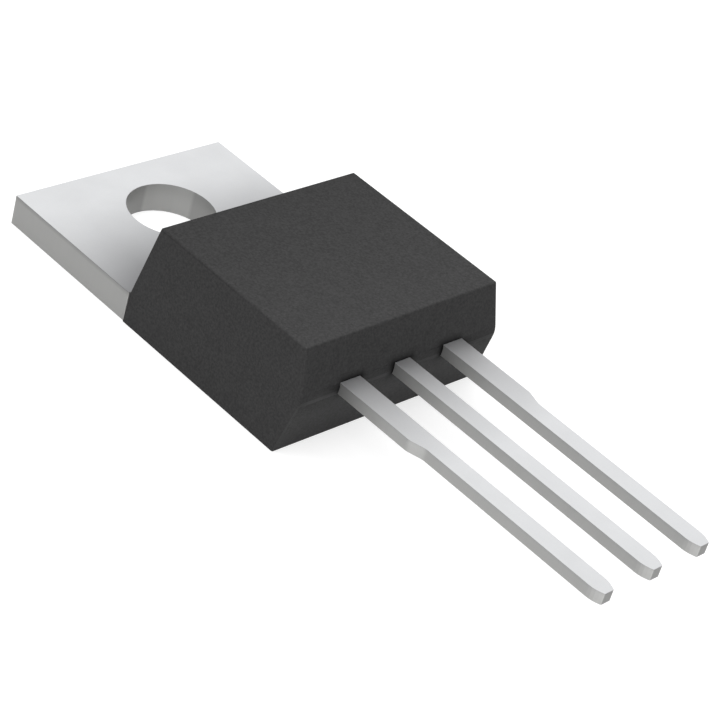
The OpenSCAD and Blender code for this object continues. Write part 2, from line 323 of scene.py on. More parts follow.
# %% Node group: painted shade round the leads
def build_painted_lead_shade():
    group, given, result = new_group(
        "painted_lead_shade", "ShaderNodeTree",
        [("Position", "NodeSocketVector", None),
         ("Pitch", "NodeSocketFloat", 2.54 * MM),
         ("Half Width", "NodeSocketFloat", 0.4 * MM),
         ("Middle Level", "NodeSocketFloat", 2.5 * MM),
         ("Half Height", "NodeSocketFloat", 0.25 * MM),
         ("Front", "NodeSocketFloat", 0.0),
         ("Reach", "NodeSocketFloat", 0.4 * MM)],
        [("Mask", "NodeSocketFloat")])
    split = split_up(group, given["Position"])
    centre = math_node(group, "ABSOLUTE", split["X"])
    outer = math_node(group, "ABSOLUTE", math_node(group, "SUBTRACT", centre, given["Pitch"]))
    beside = math_node(group, "SUBTRACT", math_node(group, "MINIMUM", centre, outer), given["Half Width"])
    level = math_node(group, "ABSOLUTE", math_node(group, "SUBTRACT", split["Z"], given["Middle Level"]))
    over = math_node(group, "SUBTRACT", level, given["Half Height"])
    away = place(group, "ShaderNodeCombineXYZ", {"X": math_node(group, "MAXIMUM", beside, 0.0),
                                                 "Y": math_node(group, "MAXIMUM", over, 0.0)})
    distance = length_of(group, away.outputs["Vector"])
    share = math_node(group, "DIVIDE", distance, given["Reach"], clamp=True)
    fading = math_node(group, "POWER", math_node(group, "SUBTRACT", 1.0, share), 2.0)
    in_front = math_node(group, "LESS_THAN", split["Y"], given["Front"])
    group.links.new(math_node(group, "MULTIPLY", fading, in_front), result["Mask"])
    return group


PAINTED_LEAD_SHADE = build_painted_lead_shade()

# %% [markdown]
# ## Epoxy
#
# The body is moulded from epoxy filled with silica powder, which makes it a dull charcoal with a very fine
# mottle. The mould's face is spark-eroded, so there is a bump as fine as the mottle. The gloss is weak and
# broad. The top of the body gets a little darker towards the tab. A painted highlight lies on the lower
# rounded edges, and painted shade round the leads.

# %% Material: epoxy
EPOXY_DARK = (0.0400, 0.0397, 0.0400, 1.0)
EPOXY_LIGHT = (0.0595, 0.0592, 0.0595, 1.0)
# Painted highlight on the lower rounded edges.
EPOXY_EDGE_HIGHLIGHT = (0.085, 0.085, 0.085, 1.0)
# Painted shade round the leads.
EPOXY_ROOT_SHADE = (0.003, 0.003, 0.003, 1.0)
BLACK = (0.0, 0.0, 0.0, 1.0)
TOP_DARKENING_TOWARD_TAB = 0.25
MOTTLE_RANGE = (0.35, 0.65)
EPOXY_ROUGHNESS = (0.74, 0.62)
EPOXY_GLOSS = 0.08
LEAD_END_DEPTH = 0.6 * MM
TOP_DEPTH = 0.1 * MM
body_low, body_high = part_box("epoxy_body")
lead_low, lead_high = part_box("gate_lead")


def epoxy_colour(tree, position, grain):
    """Mottled charcoal, a painted highlight on lower edges, painted shade round the leads, darker towards
    the tab.
    """
    # Painted highlight: a paler line on the lower rounded edges.
    edge = use_group(tree, EDGE_LIGHT_AND_SHADE, {"Position": position, "Amount": 0.9})["Mask"]
    # Painted shade in the corners round the leads.
    root = use_group(tree, PAINTED_LEAD_SHADE, {"Position": position, "Half Width": 0.45 * MM,
                                        "Middle Level": (lead_low.z + lead_high.z) / 2,
                                        "Front": body_low.y + LEAD_END_DEPTH})["Mask"]
    colour = mix_colours(tree, ramp(tree, grain, *MOTTLE_RANGE), EPOXY_DARK, EPOXY_LIGHT)
    colour = mix_colours(tree, edge, colour, EPOXY_EDGE_HIGHLIGHT)
    colour = mix_colours(tree, root, colour, EPOXY_ROOT_SHADE)
    split = split_up(tree, position)
    # The top face is made darker towards the tab.
    toward_tab = ramp(tree, split["Y"], body_low.y, body_high.y, 0.0, TOP_DARKENING_TOWARD_TAB)
    on_top = math_node(tree, "GREATER_THAN", split["Z"], body_high.z - TOP_DEPTH)
    return mix_colours(tree, math_node(tree, "MULTIPLY", toward_tab, on_top), colour, BLACK)


def epoxy_material():
    material, tree, shader = new_material("epoxy")
    position = object_position(tree)
    grain = use_grain(tree, position, 0.09 * MM, 0.9 * MM, 0.15)
    tree.links.new(epoxy_colour(tree, position, grain), shader.inputs["Base Color"])
    tree.links.new(ramp(tree, grain, 0.0, 1.0, *EPOXY_ROUGHNESS), shader.inputs["Roughness"])
    add_bump(tree, shader, grain, 0.25, 0.01 * MM)
    shader.inputs["Specular IOR Level"].default_value = EPOXY_GLOSS
    return material


EPOXY = epoxy_material()

# %% [markdown]
# ## Tin plating: the faces and the hole
#
# The tab and the leads are punched from copper strip and plated with dull tin.
# The rolled faces of the strip come out pale and even. The faces that the punch cut are darker, partly
# because they are rougher and partly as painted shade, since upright faces get less light than level ones,
# and they have streaks along the cut. The pieces carry two more attributes, so one material makes both:
# `cut` is 1 on the cut faces, and a second one says how much painted light a cut face gets where it runs
# aslant, and how much painted shade on the blunt end of a lead.
#
# The finish is built up in steps, and the first is a relief. It is grain on a rolled face, streaks on a cut
# one, and in the mounting hole broad bands, which are a bump and, through the shade, painted reflections.
# The hole's axis is the Z axis, so its wall is the cut faces that lie near that axis.

# %% Plating: relief
NEAR_AXIS = 2.5 * MM
# Painted reflection bands in the hole: where they turn, their edge and their levels.
REFLECTION_BANDS_TURNED = math.radians(52)
REFLECTION_BAND_EDGE = (0.36, 0.52)
REFLECTION_BAND_LEVELS = (0.25, 0.66)
STREAKS_IN_HOLE = 0.2
STREAK_STRETCH = 0.06
print("the hole's wall lies within", round(NEAR_AXIS / MM, 2), "mm of the Z axis")


def inside_hole(tree, split, cut):
    """1 on the wall of the mounting hole, otherwise 0."""
    plan = place(tree, "ShaderNodeCombineXYZ", {"X": split["X"], "Y": split["Y"]}).outputs[0]
    near = math_node(tree, "LESS_THAN", length_of(tree, plan), NEAR_AXIS)
    return math_node(tree, "MULTIPLY", cut, near)


def hole_reflection_bands(tree, split, streaks):
    """Two pale painted reflection bands and two darker ones round the hole, roughened by the streaks."""
    angle = math_node(tree, "ARCTAN2", split["Y"], split["X"])
    turned = math_node(tree, "SUBTRACT", angle, REFLECTION_BANDS_TURNED)
    wave = math_node(tree, "COSINE", math_node(tree, "MULTIPLY", turned, 2.0))
    return mix_values(tree, STREAKS_IN_HOLE, ramp(tree, wave, *REFLECTION_BAND_EDGE, *REFLECTION_BAND_LEVELS), streaks)


def plating_relief(tree, position, split, cut, in_hole):
    """The grain of a rolled face, the streaks of a cut one or the bands in the hole."""
    along_cut = place(tree, "ShaderNodeMapping", {"Vector": position, "Scale": (1.0, 1.0, STREAK_STRETCH)})
    grain = use_grain(tree, position, 0.05 * MM, 1.6 * MM, 0.6)
    streaks = use_grain(tree, along_cut.outputs["Vector"], 0.06 * MM, 0.7 * MM, 0.7)
    reflection_bands = hole_reflection_bands(tree, split, streaks)
    return mix_values(tree, in_hole, mix_values(tree, cut, grain, streaks), reflection_bands)


# %% [markdown]
# ## Tin plating: light and dark
#
# The second step is a shade that the colour is multiplied by. It is near 1 and follows the relief a little;
# in the hole, where the relief holds the bands, that paints reflections. It drops at the edges, as painted
# shade. It also drops in a narrow band under the top faces of tab and leads, as painted shade where the
# strip rolled over before it broke, and cut faces get painted light or painted shade by the way they face.
# Each kind of face has its own contrast.

# %% Plating: shade
FACE_CONTRAST = 0.04
CUT_CONTRAST = 0.035
# How strongly the hole's painted reflection bands show.
HOLE_CONTRAST = 0.16
# Painted light on aslant cut faces, and painted shade on blunt lead ends.
FACING_LIGHT_GAIN = 0.45
tab_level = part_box("die_solder")[0].z
# Painted shade in a band under the top faces: level, depth and amount.
ROLLOVER_SHADE_BANDS = ((tab_level, 0.20 * MM, 0.30), (lead_high.z, 0.12 * MM, 0.10))
print("top of tab and of leads in mm:", [round(level / MM, 2) for level, _, _ in ROLLOVER_SHADE_BANDS])


def rollover_shade(tree, height, level, depth):
    """1 at a level, falling to 0 at that depth below it, and 0 above it."""
    under = math_node(tree, "LESS_THAN", height, level + 0.001 * MM)
    return math_node(tree, "MULTIPLY", ramp(tree, height, level - depth, level), under)


def plating_shade(tree, position, height, relief, cut, in_hole):
    """What the colour is multiplied by: near 1, with painted shade at edges and under the top faces."""
    contrast = mix_values(tree, in_hole, mix_values(tree, cut, FACE_CONTRAST, CUT_CONTRAST), HOLE_CONTRAST)
    centred = ramp(tree, relief, 0.3, 0.7, -1.0, 1.0)
    shade = math_node(tree, "ADD", 1.0, math_node(tree, "MULTIPLY", centred, contrast))
    # Painted shade: a slightly darker line on the rounded edges.
    edge = use_group(tree, EDGE_LIGHT_AND_SHADE, {"Position": position, "Amount": 0.25})["Mask"]
    shade = math_node(tree, "SUBTRACT", shade, edge)
    outside = math_node(tree, "SUBTRACT", cut, in_hole)
    # Painted light where a cut face runs aslant, painted shade on a lead's blunt end.
    facing_light_and_shade = math_node(tree, "MULTIPLY", face_mark(tree, "facing_light_and_shade"), outside)
    shade = math_node(tree, "ADD", shade, math_node(tree, "MULTIPLY", facing_light_and_shade, FACING_LIGHT_GAIN))
    # Painted shade in a narrow band under the top faces, where the strip rolled over.
    for level, depth, amount in ROLLOVER_SHADE_BANDS:
        rollover_mask = math_node(tree, "MULTIPLY", rollover_shade(tree, height, level, depth), outside)
        shade = math_node(tree, "SUBTRACT", shade, math_node(tree, "MULTIPLY", rollover_mask, amount))
    return shade


# %% [markdown]
# ## Tin plating: colour
#
# The third step is the colour, which goes from clean tin to painted shade beside the body. The painted shade
# is darkest on the tab, and lighter towards the tab's two sides.

# %% Plating: colour
TIN_FACE = (0.770, 0.778, 0.789, 1.0)
# Painted shade beside the body, on the rolled faces of the leads and of the tab.
TIN_PAINTED_SHADE = (0.400, 0.399, 0.406, 1.0)
TAB_PAINTED_SHADE = (0.150, 0.149, 0.155, 1.0)
# Cut faces are darker, partly for their rougher surface and partly as painted shade of upright faces; on the
# tab darker still.
TIN_CUT_ROUGH_AND_SHADED = (0.435, 0.435, 0.428, 1.0)
TAB_CUT_ROUGH_AND_SHADED = (0.381, 0.381, 0.374, 1.0)
# Painted shade beside the body on the cut faces of the leads.
CUT_PAINTED_SHADE = (0.17, 0.17, 0.168, 1.0)
MOST_LEAD_PAINTED_SHADE = 0.7
TAB_SIDES = (3.6 * MM, 5.0 * MM)
PAINTED_SHADE_AT_TAB_SIDES = 0.8
print("rolled faces go from", TIN_FACE[:3], "to", TIN_PAINTED_SHADE[:3], "and on the tab to", TAB_PAINTED_SHADE[:3])


def plating_colour(tree, position, split, cut):
    """Clean tin far from the body and painted shade beside it, on rolled faces and on cut ones."""
    beside_body = {"Position": position, "Middle": (body_low.y + body_high.y) / 2,
                   "Half Length": (body_high.y - body_low.y) / 2}
    # Painted shade beside the body: fading masks for the leads, the tab and the cut faces.
    lead_painted_shade = math_node(tree, "MINIMUM", use_group(tree, PAINTED_BODY_SHADE, beside_body)["Mask"], MOST_LEAD_PAINTED_SHADE)
    from_middle = math_node(tree, "ABSOLUTE", split["X"])
    thinner = ramp(tree, from_middle, *TAB_SIDES, 1.0, PAINTED_SHADE_AT_TAB_SIDES)
    tab_painted_shade = use_group(tree, PAINTED_BODY_SHADE, {**beside_body, "Falloff": 1.35})["Mask"]
    tab_painted_shade = math_node(tree, "MULTIPLY", tab_painted_shade, thinner)
    cut_painted_shade = use_group(tree, PAINTED_BODY_SHADE, {**beside_body, "Reach": 2.8 * MM, "Lowest": 1.5 * MM})["Mask"]
    on_tab = math_node(tree, "LESS_THAN", split["Z"], tab_level + 0.1 * MM)
    painted_body_shade = mix_values(tree, on_tab, lead_painted_shade, tab_painted_shade)
    rolled_face = mix_colours(tree, painted_body_shade, TIN_FACE, mix_colours(tree, on_tab, TIN_PAINTED_SHADE, TAB_PAINTED_SHADE))
    cut_face = mix_colours(tree, on_tab, mix_colours(tree, cut_painted_shade, TIN_CUT_ROUGH_AND_SHADED, CUT_PAINTED_SHADE), TAB_CUT_ROUGH_AND_SHADED)
    return mix_colours(tree, cut, rolled_face, cut_face)


# %% [markdown]
# ## Tin plating: the material
#
# Shade times colour is the colour of the metal, and the relief is its bump. Cut
# faces are rougher and break the light up, so they mirror less than rolled ones.
# A lower Metallic value stands for that.

# %% Material: plating
ROUGHNESS = (0.40, 0.52)
ROUGHNESS_SPREAD = 0.12
METALLIC = (1.0, 0.3)
METALLIC_IN_HOLE = 0.6


def plating_material():
    material, tree, shader = new_material("plated_copper")
    position = object_position(tree)
    split = split_up(tree, position)
    cut = face_mark(tree, "cut")
    in_hole = inside_hole(tree, split, cut)
    relief = plating_relief(tree, position, split, cut, in_hole)
    shade = plating_shade(tree, position, split["Z"], relief, cut, in_hole)
    colour = plating_colour(tree, position, split, cut)
    scaled = place(tree, "ShaderNodeVectorMath", {0: colour, "Scale": shade}, operation="SCALE")
    roughness = math_node(tree, "MULTIPLY", relief, ROUGHNESS_SPREAD)
    roughness = math_node(tree, "ADD", mix_values(tree, cut, *ROUGHNESS), roughness)
    metallic = mix_values(tree, in_hole, mix_values(tree, cut, *METALLIC), METALLIC_IN_HOLE)
    tree.links.new(scaled.outputs["Vector"], shader.inputs["Base Color"])
    tree.links.new(roughness, shader.inputs["Roughness"])
    tree.links.new(metallic, shader.inputs["Metallic"])
    add_bump(tree, shader, relief, 0.12, 0.005 * MM)
    return material


PLATING = plating_material()

# %% [markdown]
# ## Silicon
#
# The die is sealed in the epoxy, but the model can be opened up, so it gets its
# own finish too. Its top has an aluminium pad for the first main terminal, a small
# one for the gate in one corner, and glass in the moat round both. The pattern is
# drawn from the distance to the die's edges, in Object coordinates.

# %% Material: silicon
PAD_MARGIN = 0.30 * MM
GATE_CORNER = 1.25 * MM
HALF_GAP = 0.05 * MM
MOAT_GLASS = ((0.09, 0.10, 0.13, 1.0), (0.14, 0.15, 0.19, 1.0))
PAD_METAL = ((0.70, 0.70, 0.71, 1.0), (0.82, 0.82, 0.83, 1.0))
die_low, die_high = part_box("silicon_die")
die_middle = (die_low + die_high) / 2
print("die in mm:", [round(side / MM, 2) for side in die_high - die_low])


def pad_mask(tree, position):
    """1 on the two pads of the die, and 0 on its border and in the gap between them."""
    half = (die_high.x - die_low.x) / 2
    local = place(tree, "ShaderNodeVectorMath", {0: position, 1: die_middle}, operation="SUBTRACT")
    split = split_up(tree, local.outputs["Vector"])
    far_x = math_node(tree, "ABSOLUTE", split["X"])
    far_y = math_node(tree, "ABSOLUTE", split["Y"])
    in_pads = math_node(tree, "LESS_THAN", math_node(tree, "MAXIMUM", far_x, far_y), half - PAD_MARGIN)
    corner_x = math_node(tree, "SUBTRACT", split["X"], half - GATE_CORNER)
    corner_y = math_node(tree, "SUBTRACT", math_node(tree, "MULTIPLY", split["Y"], -1.0), half - GATE_CORNER)
    to_gate = math_node(tree, "MINIMUM", corner_x, corner_y)
    gap = math_node(tree, "LESS_THAN", math_node(tree, "ABSOLUTE", to_gate), HALF_GAP)
    return math_node(tree, "MULTIPLY", in_pads, math_node(tree, "SUBTRACT", 1.0, gap))


def silicon_material():
    material, tree, shader = new_material("silicon")
    position = object_position(tree)
    metal = pad_mask(tree, position)
    grain = use_grain(tree, position, 0.04 * MM, 0.5 * MM, 0.5)
    moat = mix_colours(tree, grain, *MOAT_GLASS)
    pads = mix_colours(tree, grain, *PAD_METAL)
    tree.links.new(mix_colours(tree, metal, moat, pads), shader.inputs["Base Color"])
    tree.links.new(metal, shader.inputs["Metallic"])
    add_bump(tree, shader, grain, 0.1, 0.004 * MM)
    shader.inputs["Roughness"].default_value = 0.22
    return material


SILICON = silicon_material()

# %% [markdown]
# ## Solder and wire
#
# Solder and the aluminium of the bond wires are soft bright metals. They differ
# only in their colour and their gloss, so one helper makes both.

# %% Materials: solder and bond wire
def soft_metal_material(name, dark, light, roughness):
    """A soft bright metal, drawn or melted."""
    material, tree, shader = new_material(name)
    grain = use_grain(tree, object_position(tree), 0.03 * MM, 0.3 * MM, 0.5)
    tree.links.new(mix_colours(tree, grain, dark, light), shader.inputs["Base Color"])
    add_bump(tree, shader, grain, 0.15, 0.004 * MM)
    shader.inputs["Metallic"].default_value = 1.0
    shader.inputs["Roughness"].default_value = roughness
    return material


SOLDER = soft_metal_material("solder", (0.38, 0.38, 0.39, 1.0), (0.52, 0.52, 0.53, 1.0), 0.35)
WIRE = soft_metal_material("bond_wire", (0.72, 0.73, 0.74, 1.0), (0.86, 0.86, 0.87, 1.0), 0.25)

# %% [markdown]
# ## From a node to a finished piece
#
# A node's mesh is loose triangles, so a copy is welded first, and triangles that
# share a plane are joined into one face. Then only the true edges are left.

# %% Helpers for refined copies of nodes
SAME_PLACE = 0.0005 * MM
SAME_PLANE = math.radians(0.3)
SHARP = math.radians(30)


def merged_copy(node, distance):
    """A copy of a node's mesh with the points merged that are closer than a distance."""
    mesh = bmesh.new()
    mesh.from_mesh(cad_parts[node].data)
    bmesh.ops.remove_doubles(mesh, verts=mesh.verts, dist=distance)
    return mesh


def welded_copy(node):
    """A merged copy whose triangles are joined into flat faces."""
    mesh = merged_copy(node, SAME_PLACE)
    bmesh.ops.dissolve_limit(mesh, angle_limit=SAME_PLANE, verts=mesh.verts, edges=mesh.edges)
    return mesh


def sharp_edges(mesh):
    """The edges at which the surface turns sharply."""
    return [edge for edge in mesh.edges if edge.is_manifold and edge.calc_face_angle(0.0) > SHARP]


def mesh_data(mesh, name):
    """Turns an edited mesh into mesh data of that name."""
    data = bpy.data.meshes.new(name)
    mesh.to_mesh(data)
    mesh.free()
    return data


def mark_faces(data, name, values):
    """Stores one number for each face under a name that materials can read."""
    attribute = data.attributes.new(name, "FLOAT", "FACE")
    attribute.data.foreach_set("value", values)


def finish_piece(data, name, node, material):
    """Makes a mesh into a piece that rides on the model and stands for a node."""
    piece = new_object(name, data)
    data.materials.clear()
    data.materials.append(material)
    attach(piece, "root")
    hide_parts(node)
    print(name, "stands for", node, "with", len(data.polygons), "faces")
    return piece


def even_shading(piece):
    """Lets the large faces decide the normals, so that they stay flat beside rounded edges."""
    modifier = piece.modifiers.new("even_shading", "WEIGHTED_NORMAL")
    modifier.keep_sharp = True
    modifier.weight = 100


# %% [markdown]
# ## Stamped metal
#
# A stamped edge is never quite sharp, and a thin line along it keeps metal from
# looking like paper. So each true edge gets a small radius. Then every face is
# marked by the way it faces: level faces were rolled, upright ones were cut, and
# those between belong to a rounded edge.
#
# The shoulders and the tips of the leads, where cut faces run aslant, get painted light, and the blunt ends
# of the leads get painted shade, for the way they face the light.

# %% Stamped pieces
STAMPED = {"tab_and_mt2_lead": "tab_and_centre_lead", "mt1_lead": "main_terminal_lead",
           "gate_lead": "gate_terminal_lead"}
EDGE_RADIUS = 0.015 * MM
FACE_TILT = 0.5
EDGE_TILTS = (0.2, 0.98)
# Painted shade on a lead's blunt end.
BLUNT_END_SHADE = 0.4
SQUARE_ON = 0.9


def facing_light_share(normal):
    """Painted light on a cut face: 1 where it runs aslant, and painted shade below 0 on a lead's blunt end.
    """
    if abs(normal.z) > FACE_TILT:
        return 0.0
    aslant = 2 * abs(normal.x * normal.y)
    return aslant - BLUNT_END_SHADE * float(normal.y < -SQUARE_ON)


def stamped_piece(node, name):
    mesh = welded_copy(node)
    bmesh.ops.bevel(mesh, geom=sharp_edges(mesh), offset=EDGE_RADIUS, offset_type="OFFSET",
                    segments=3, profile=0.5, affect="EDGES", clamp_overlap=False)
    data = mesh_data(mesh, name)
    normals = [face.normal.copy() for face in data.polygons]
    mark_faces(data, "cut", [float(abs(normal.z) < FACE_TILT) for normal in normals])
    mark_faces(data, "edge", [float(EDGE_TILTS[0] < abs(normal.z) < EDGE_TILTS[1]) for normal in normals])
    mark_faces(data, "facing_light_and_shade", [facing_light_share(normal) for normal in normals])
    data.shade_smooth()
    even_shading(finish_piece(data, name, node, PLATING))


for node, name in STAMPED.items():
    stamped_piece(node, name)

# %% [markdown]
# ## The moulded body
#
# The body's rounded edges are already in the model, as rows of narrow facets. They need no more geometry,
# only normals that run smoothly from one flat face over the edge to the next. A Weighted Normal modifier
# does that: the large faces decide, so they stay flat. The narrow facets that face down also get the edge
# mark, which the epoxy shows as a painted highlight.

# %% Body
BODY_SAME_PLACE = 0.0002 * MM
FLAT_AREA = 1.0 * MM * MM
FACES_DOWN = -0.02
# How much painted highlight the narrow downward faces get.
EDGE_HIGHLIGHT_SHARE = 0.8


def edge_highlight_marks(data):
    """How much painted highlight each face gets: none, unless it is a narrow one that faces down."""
    areas = {}
    keys = [tuple(round(v, 2) for v in face.normal) for face in data.polygons]
    for key, face in zip(keys, data.polygons):
        areas[key] = areas.get(key, 0.0) + face.area
    return [EDGE_HIGHLIGHT_SHARE * float(areas[key] < FLAT_AREA and key[2] < FACES_DOWN) for key in keys]


def moulded_body():
    data = mesh_data(merged_copy("epoxy_body", BODY_SAME_PLACE), "moulded_body")
    data.shade_smooth()
    data.set_sharp_from_angle(angle=math.radians(40))
    mark_faces(data, "edge", edge_highlight_marks(data))
    even_shading(finish_piece(data, "moulded_body", "epoxy_body", EPOXY))


moulded_body()

# %% [markdown]
# ## Bond wires that follow a path
#
# A bond wire is pressed flat on the die, led up and over in a loop, and pressed
# flat again on the post of its lead. All three wires do the same at different
# sizes, so one Geometry Nodes tree makes them. It sets out the six corners of the
# path, rounds them, sweeps a circle along them and then flattens both feet.
#
# First the corners. Each end of the path has three: the tip of the foot, the
# place where the wire leaves the foot, and the place where it has climbed to the
# top of the loop. The sizes of a foot are given in diameters of the wire.

# %% Bond wire: the corners of the path
WIRE_SIZES = [("Diameter", 0.38 * MM), ("Bend Radius", 0.5 * MM), ("Loop Height", 0.5 * MM),
              ("Loop Slope", math.radians(55)), ("Foot Run", 1.5), ("Foot Length", 2.6),
              ("Foot Width", 1.4), ("Foot Height", 0.75), ("Foot Lift", 0.55)]
FOOT_SHARE = 0.49
IN_PLAN = (1.0, 1.0, 0.0)
print("a wire is set by:", ", ".join(label.lower() for label, _ in WIRE_SIZES))


def vector_math(tree, operation, a, b=(0.0, 0.0, 0.0), scale=1.0):
    """The vector that a Vector Math node makes from two vectors or a vector and a number."""
    inputs = {0: a, "Scale": scale} if operation == "SCALE" else {0: a, 1: b}
    return place(tree, "ShaderNodeVectorMath", inputs, operation=operation).outputs["Vector"]


def upward(tree, height):
    """A vector that points straight up."""
    return place(tree, "ShaderNodeCombineXYZ", {"Z": height}).outputs[0]


def direction_in_plan(tree, given):
    """The level direction from a wire's start to its end."""
    whole = vector_math(tree, "SUBTRACT", given["End"], given["Start"])
    return vector_math(tree, "NORMALIZE", vector_math(tree, "MULTIPLY", whole, IN_PLAN))


def path_corners(tree, given):
    """The six corners of a wire's path, from its foot on the die to its foot on the post."""
    size = given["Diameter"]
    along = direction_in_plan(tree, given)
    lift = math_node(tree, "MULTIPLY", given["Foot Lift"], size)
    run = math_node(tree, "MULTIPLY", given["Foot Run"], size)
    reach = math_node(tree, "MULTIPLY", given["Foot Length"], math_node(tree, "MULTIPLY", size, FOOT_SHARE))
    top = math_node(tree, "ADD", split_up(tree, given["End"])["Z"], given["Loop Height"])
    slope = math_node(tree, "TANGENT", given["Loop Slope"])
    corners = []
    for point, way in ((given["Start"], 1.0), (given["End"], -1.0)):
        rise = math_node(tree, "SUBTRACT", top, split_up(tree, point)["Z"])
        climbed = math_node(tree, "ADD", run, math_node(tree, "DIVIDE", rise, slope))
        for distance, height in ((math_node(tree, "MULTIPLY", reach, -1.0), lift), (run, lift),
                                 (climbed, math_node(tree, "ADD", rise, lift))):
            step = vector_math(tree, "SCALE", along, scale=math_node(tree, "MULTIPLY", distance, way))
            corners.append(vector_math(tree, "ADD", vector_math(tree, "ADD", point, step),
                                       upward(tree, height)))
    return corners[:3] + corners[:2:-1]


# %% [markdown]
# ## Pressing the feet
#
# The sweep leaves every point with the place on the path that it belongs to, kept
# as an attribute. How far inward that place lies from the middle of a foot decides
# how much the point is pressed. A pressed point is moved out about the path and
# squeezed down to the height of a foot. A second attribute narrows the foot again
# at the very end of the wire, so that its end is round in plan.

# %% Bond wire: the feet
PRESSED_FROM = 0.9
PRESSED_FULLY = 0.3
LEAST_WIDTH = 0.2
print("feet are pressed from", PRESSED_FROM, "of their half length in, and fully at", PRESSED_FULLY)


def read_back(tree, name, data_type):
    """An attribute that was stored earlier in the tree."""
    return place(tree, "GeometryNodeInputNamedAttribute", {"Name": name},
                 data_type=data_type).outputs["Attribute"]


def end_roundness(tree, given, curve):
    """How wide the foot still is towards the wire's two ends, which are half circles in plan."""
    so_far = place(tree, "GeometryNodeSplineParameter").outputs["Length"]
    whole = place(tree, "GeometryNodeCurveLength", {"Curve": curve}).outputs[0]
    to_end = math_node(tree, "MINIMUM", so_far, math_node(tree, "SUBTRACT", whole, so_far))
    radius = math_node(tree, "MULTIPLY", given["Diameter"], 0.5)
    half_width = math_node(tree, "MULTIPLY", given["Foot Width"], radius)
    inward = math_node(tree, "SUBTRACT", 1.0, math_node(tree, "DIVIDE", to_end, half_width), clamp=True)
    roundness = math_node(tree, "SUBTRACT", 1.0, math_node(tree, "MULTIPLY", inward, inward))
    return math_node(tree, "MAXIMUM", math_node(tree, "SQRT", roundness), LEAST_WIDTH)


def pressed_shares(tree, given, path):
    """For each foot, how much a point is pressed: 1 in the middle of the foot and 0 beyond its end."""
    along = direction_in_plan(tree, given)
    half = math_node(tree, "MULTIPLY", math_node(tree, "MULTIPLY", given["Foot Length"],
                                                 given["Diameter"]), 0.5)
    shares = []
    for point, way in ((given["Start"], 1.0), (given["End"], -1.0)):
        away = place(tree, "ShaderNodeVectorMath", {0: vector_math(tree, "SUBTRACT", path, point), 1: along},
                     operation="DOT_PRODUCT").outputs["Value"]
        inward = math_node(tree, "DIVIDE", math_node(tree, "MULTIPLY", away, way), half)
        share = place(tree, "ShaderNodeMapRange", {"Value": inward, "From Min": PRESSED_FROM,
                                                   "From Max": PRESSED_FULLY},
                      interpolation_type="SMOOTHSTEP")
        shares.append(share.outputs["Result"])
    return shares


def flattened_feet(tree, given, geometry):
    """The swept wire with both of its ends pressed flat on the faces they lie on."""
    size = given["Diameter"]
    position = place(tree, "GeometryNodeInputPosition").outputs[0]
    path = read_back(tree, "path", "FLOAT_VECTOR")
    at_start, at_end = pressed_shares(tree, given, path)
    levels = [split_up(tree, given[end])["Z"] for end in ("Start", "End")]
    face = mix_values(tree, math_node(tree, "GREATER_THAN", at_end, at_start), *levels)
    offset = vector_math(tree, "SUBTRACT", position, path)
    width = math_node(tree, "MULTIPLY", given["Foot Width"], read_back(tree, "roundness", "FLOAT"))
    wide = vector_math(tree, "SCALE", vector_math(tree, "MULTIPLY", offset, IN_PLAN), scale=width)
    share_up = math_node(tree, "DIVIDE", split_up(tree, offset)["Z"], size)
    share_up = math_node(tree, "ADD", share_up, 0.5)
    height = math_node(tree, "MULTIPLY", share_up, math_node(tree, "MULTIPLY", given["Foot Height"], size))
    flat_path = vector_math(tree, "MULTIPLY", path, IN_PLAN)
    flat = vector_math(tree, "ADD", vector_math(tree, "ADD", flat_path, wide),
                       upward(tree, math_node(tree, "ADD", face, height)))
    placed = place(tree, "ShaderNodeMix", {0: math_node(tree, "MAXIMUM", at_start, at_end),
                                           4: position, 5: flat}, data_type="VECTOR").outputs[1]
    return place(tree, "GeometryNodeSetPosition", {"Geometry": geometry, "Position": placed}).outputs[0]


# %% [markdown]
# ## The whole wire
#
# The tree starts from a line with one point for each corner and moves every point
# to its corner. A fillet rounds the bends, and the curve is divided evenly, so
# that the feet have enough rings to be pressed. The tree ends by making instances
# real and setting the material, because an export drops instances.

# %% Bond wire: the tree
BEND_STEPS = 12
WIRE_SIDES = 20
RING_SPACING = 0.125


def keep_value(tree, geometry, name, value, data_type):
    """Stores a value on the points of a curve under a name."""
    return place(tree, "GeometryNodeStoreNamedAttribute",
                 {"Geometry": geometry, "Name": name, "Value": value},
                 data_type=data_type, domain="POINT").outputs[0]


def rounded_path(tree, given):
    """The wire's path as an evenly divided curve."""
    corners = path_corners(tree, given)
    choice = place(tree, "GeometryNodeIndexSwitch", data_type="VECTOR")
    for _ in corners[2:]:
        choice.index_switch_items.new()
    tree.links.new(place(tree, "GeometryNodeInputIndex").outputs[0], choice.inputs[0])
    for number, corner in enumerate(corners):
        tree.links.new(corner, choice.inputs[number + 1])
    line = place(tree, "GeometryNodeMeshLine", {"Count": len(corners)})
    bent = place(tree, "GeometryNodeSetPosition", {"Geometry": line.outputs[0],
                                                   "Position": choice.outputs[0]})
    curve = place(tree, "GeometryNodeMeshToCurve", {0: bent.outputs[0]})
    fillet = place(tree, "GeometryNodeFilletCurve",
                   {"Curve": curve.outputs[0], "Radius": given["Bend Radius"],
                    "Count": BEND_STEPS, "Limit Radius": True}, mode="POLY")
    spacing = math_node(tree, "MULTIPLY", given["Diameter"], RING_SPACING)
    return place(tree, "GeometryNodeResampleCurve", {"Curve": fillet.outputs[0], "Length": spacing},
                 mode="LENGTH").outputs[0]


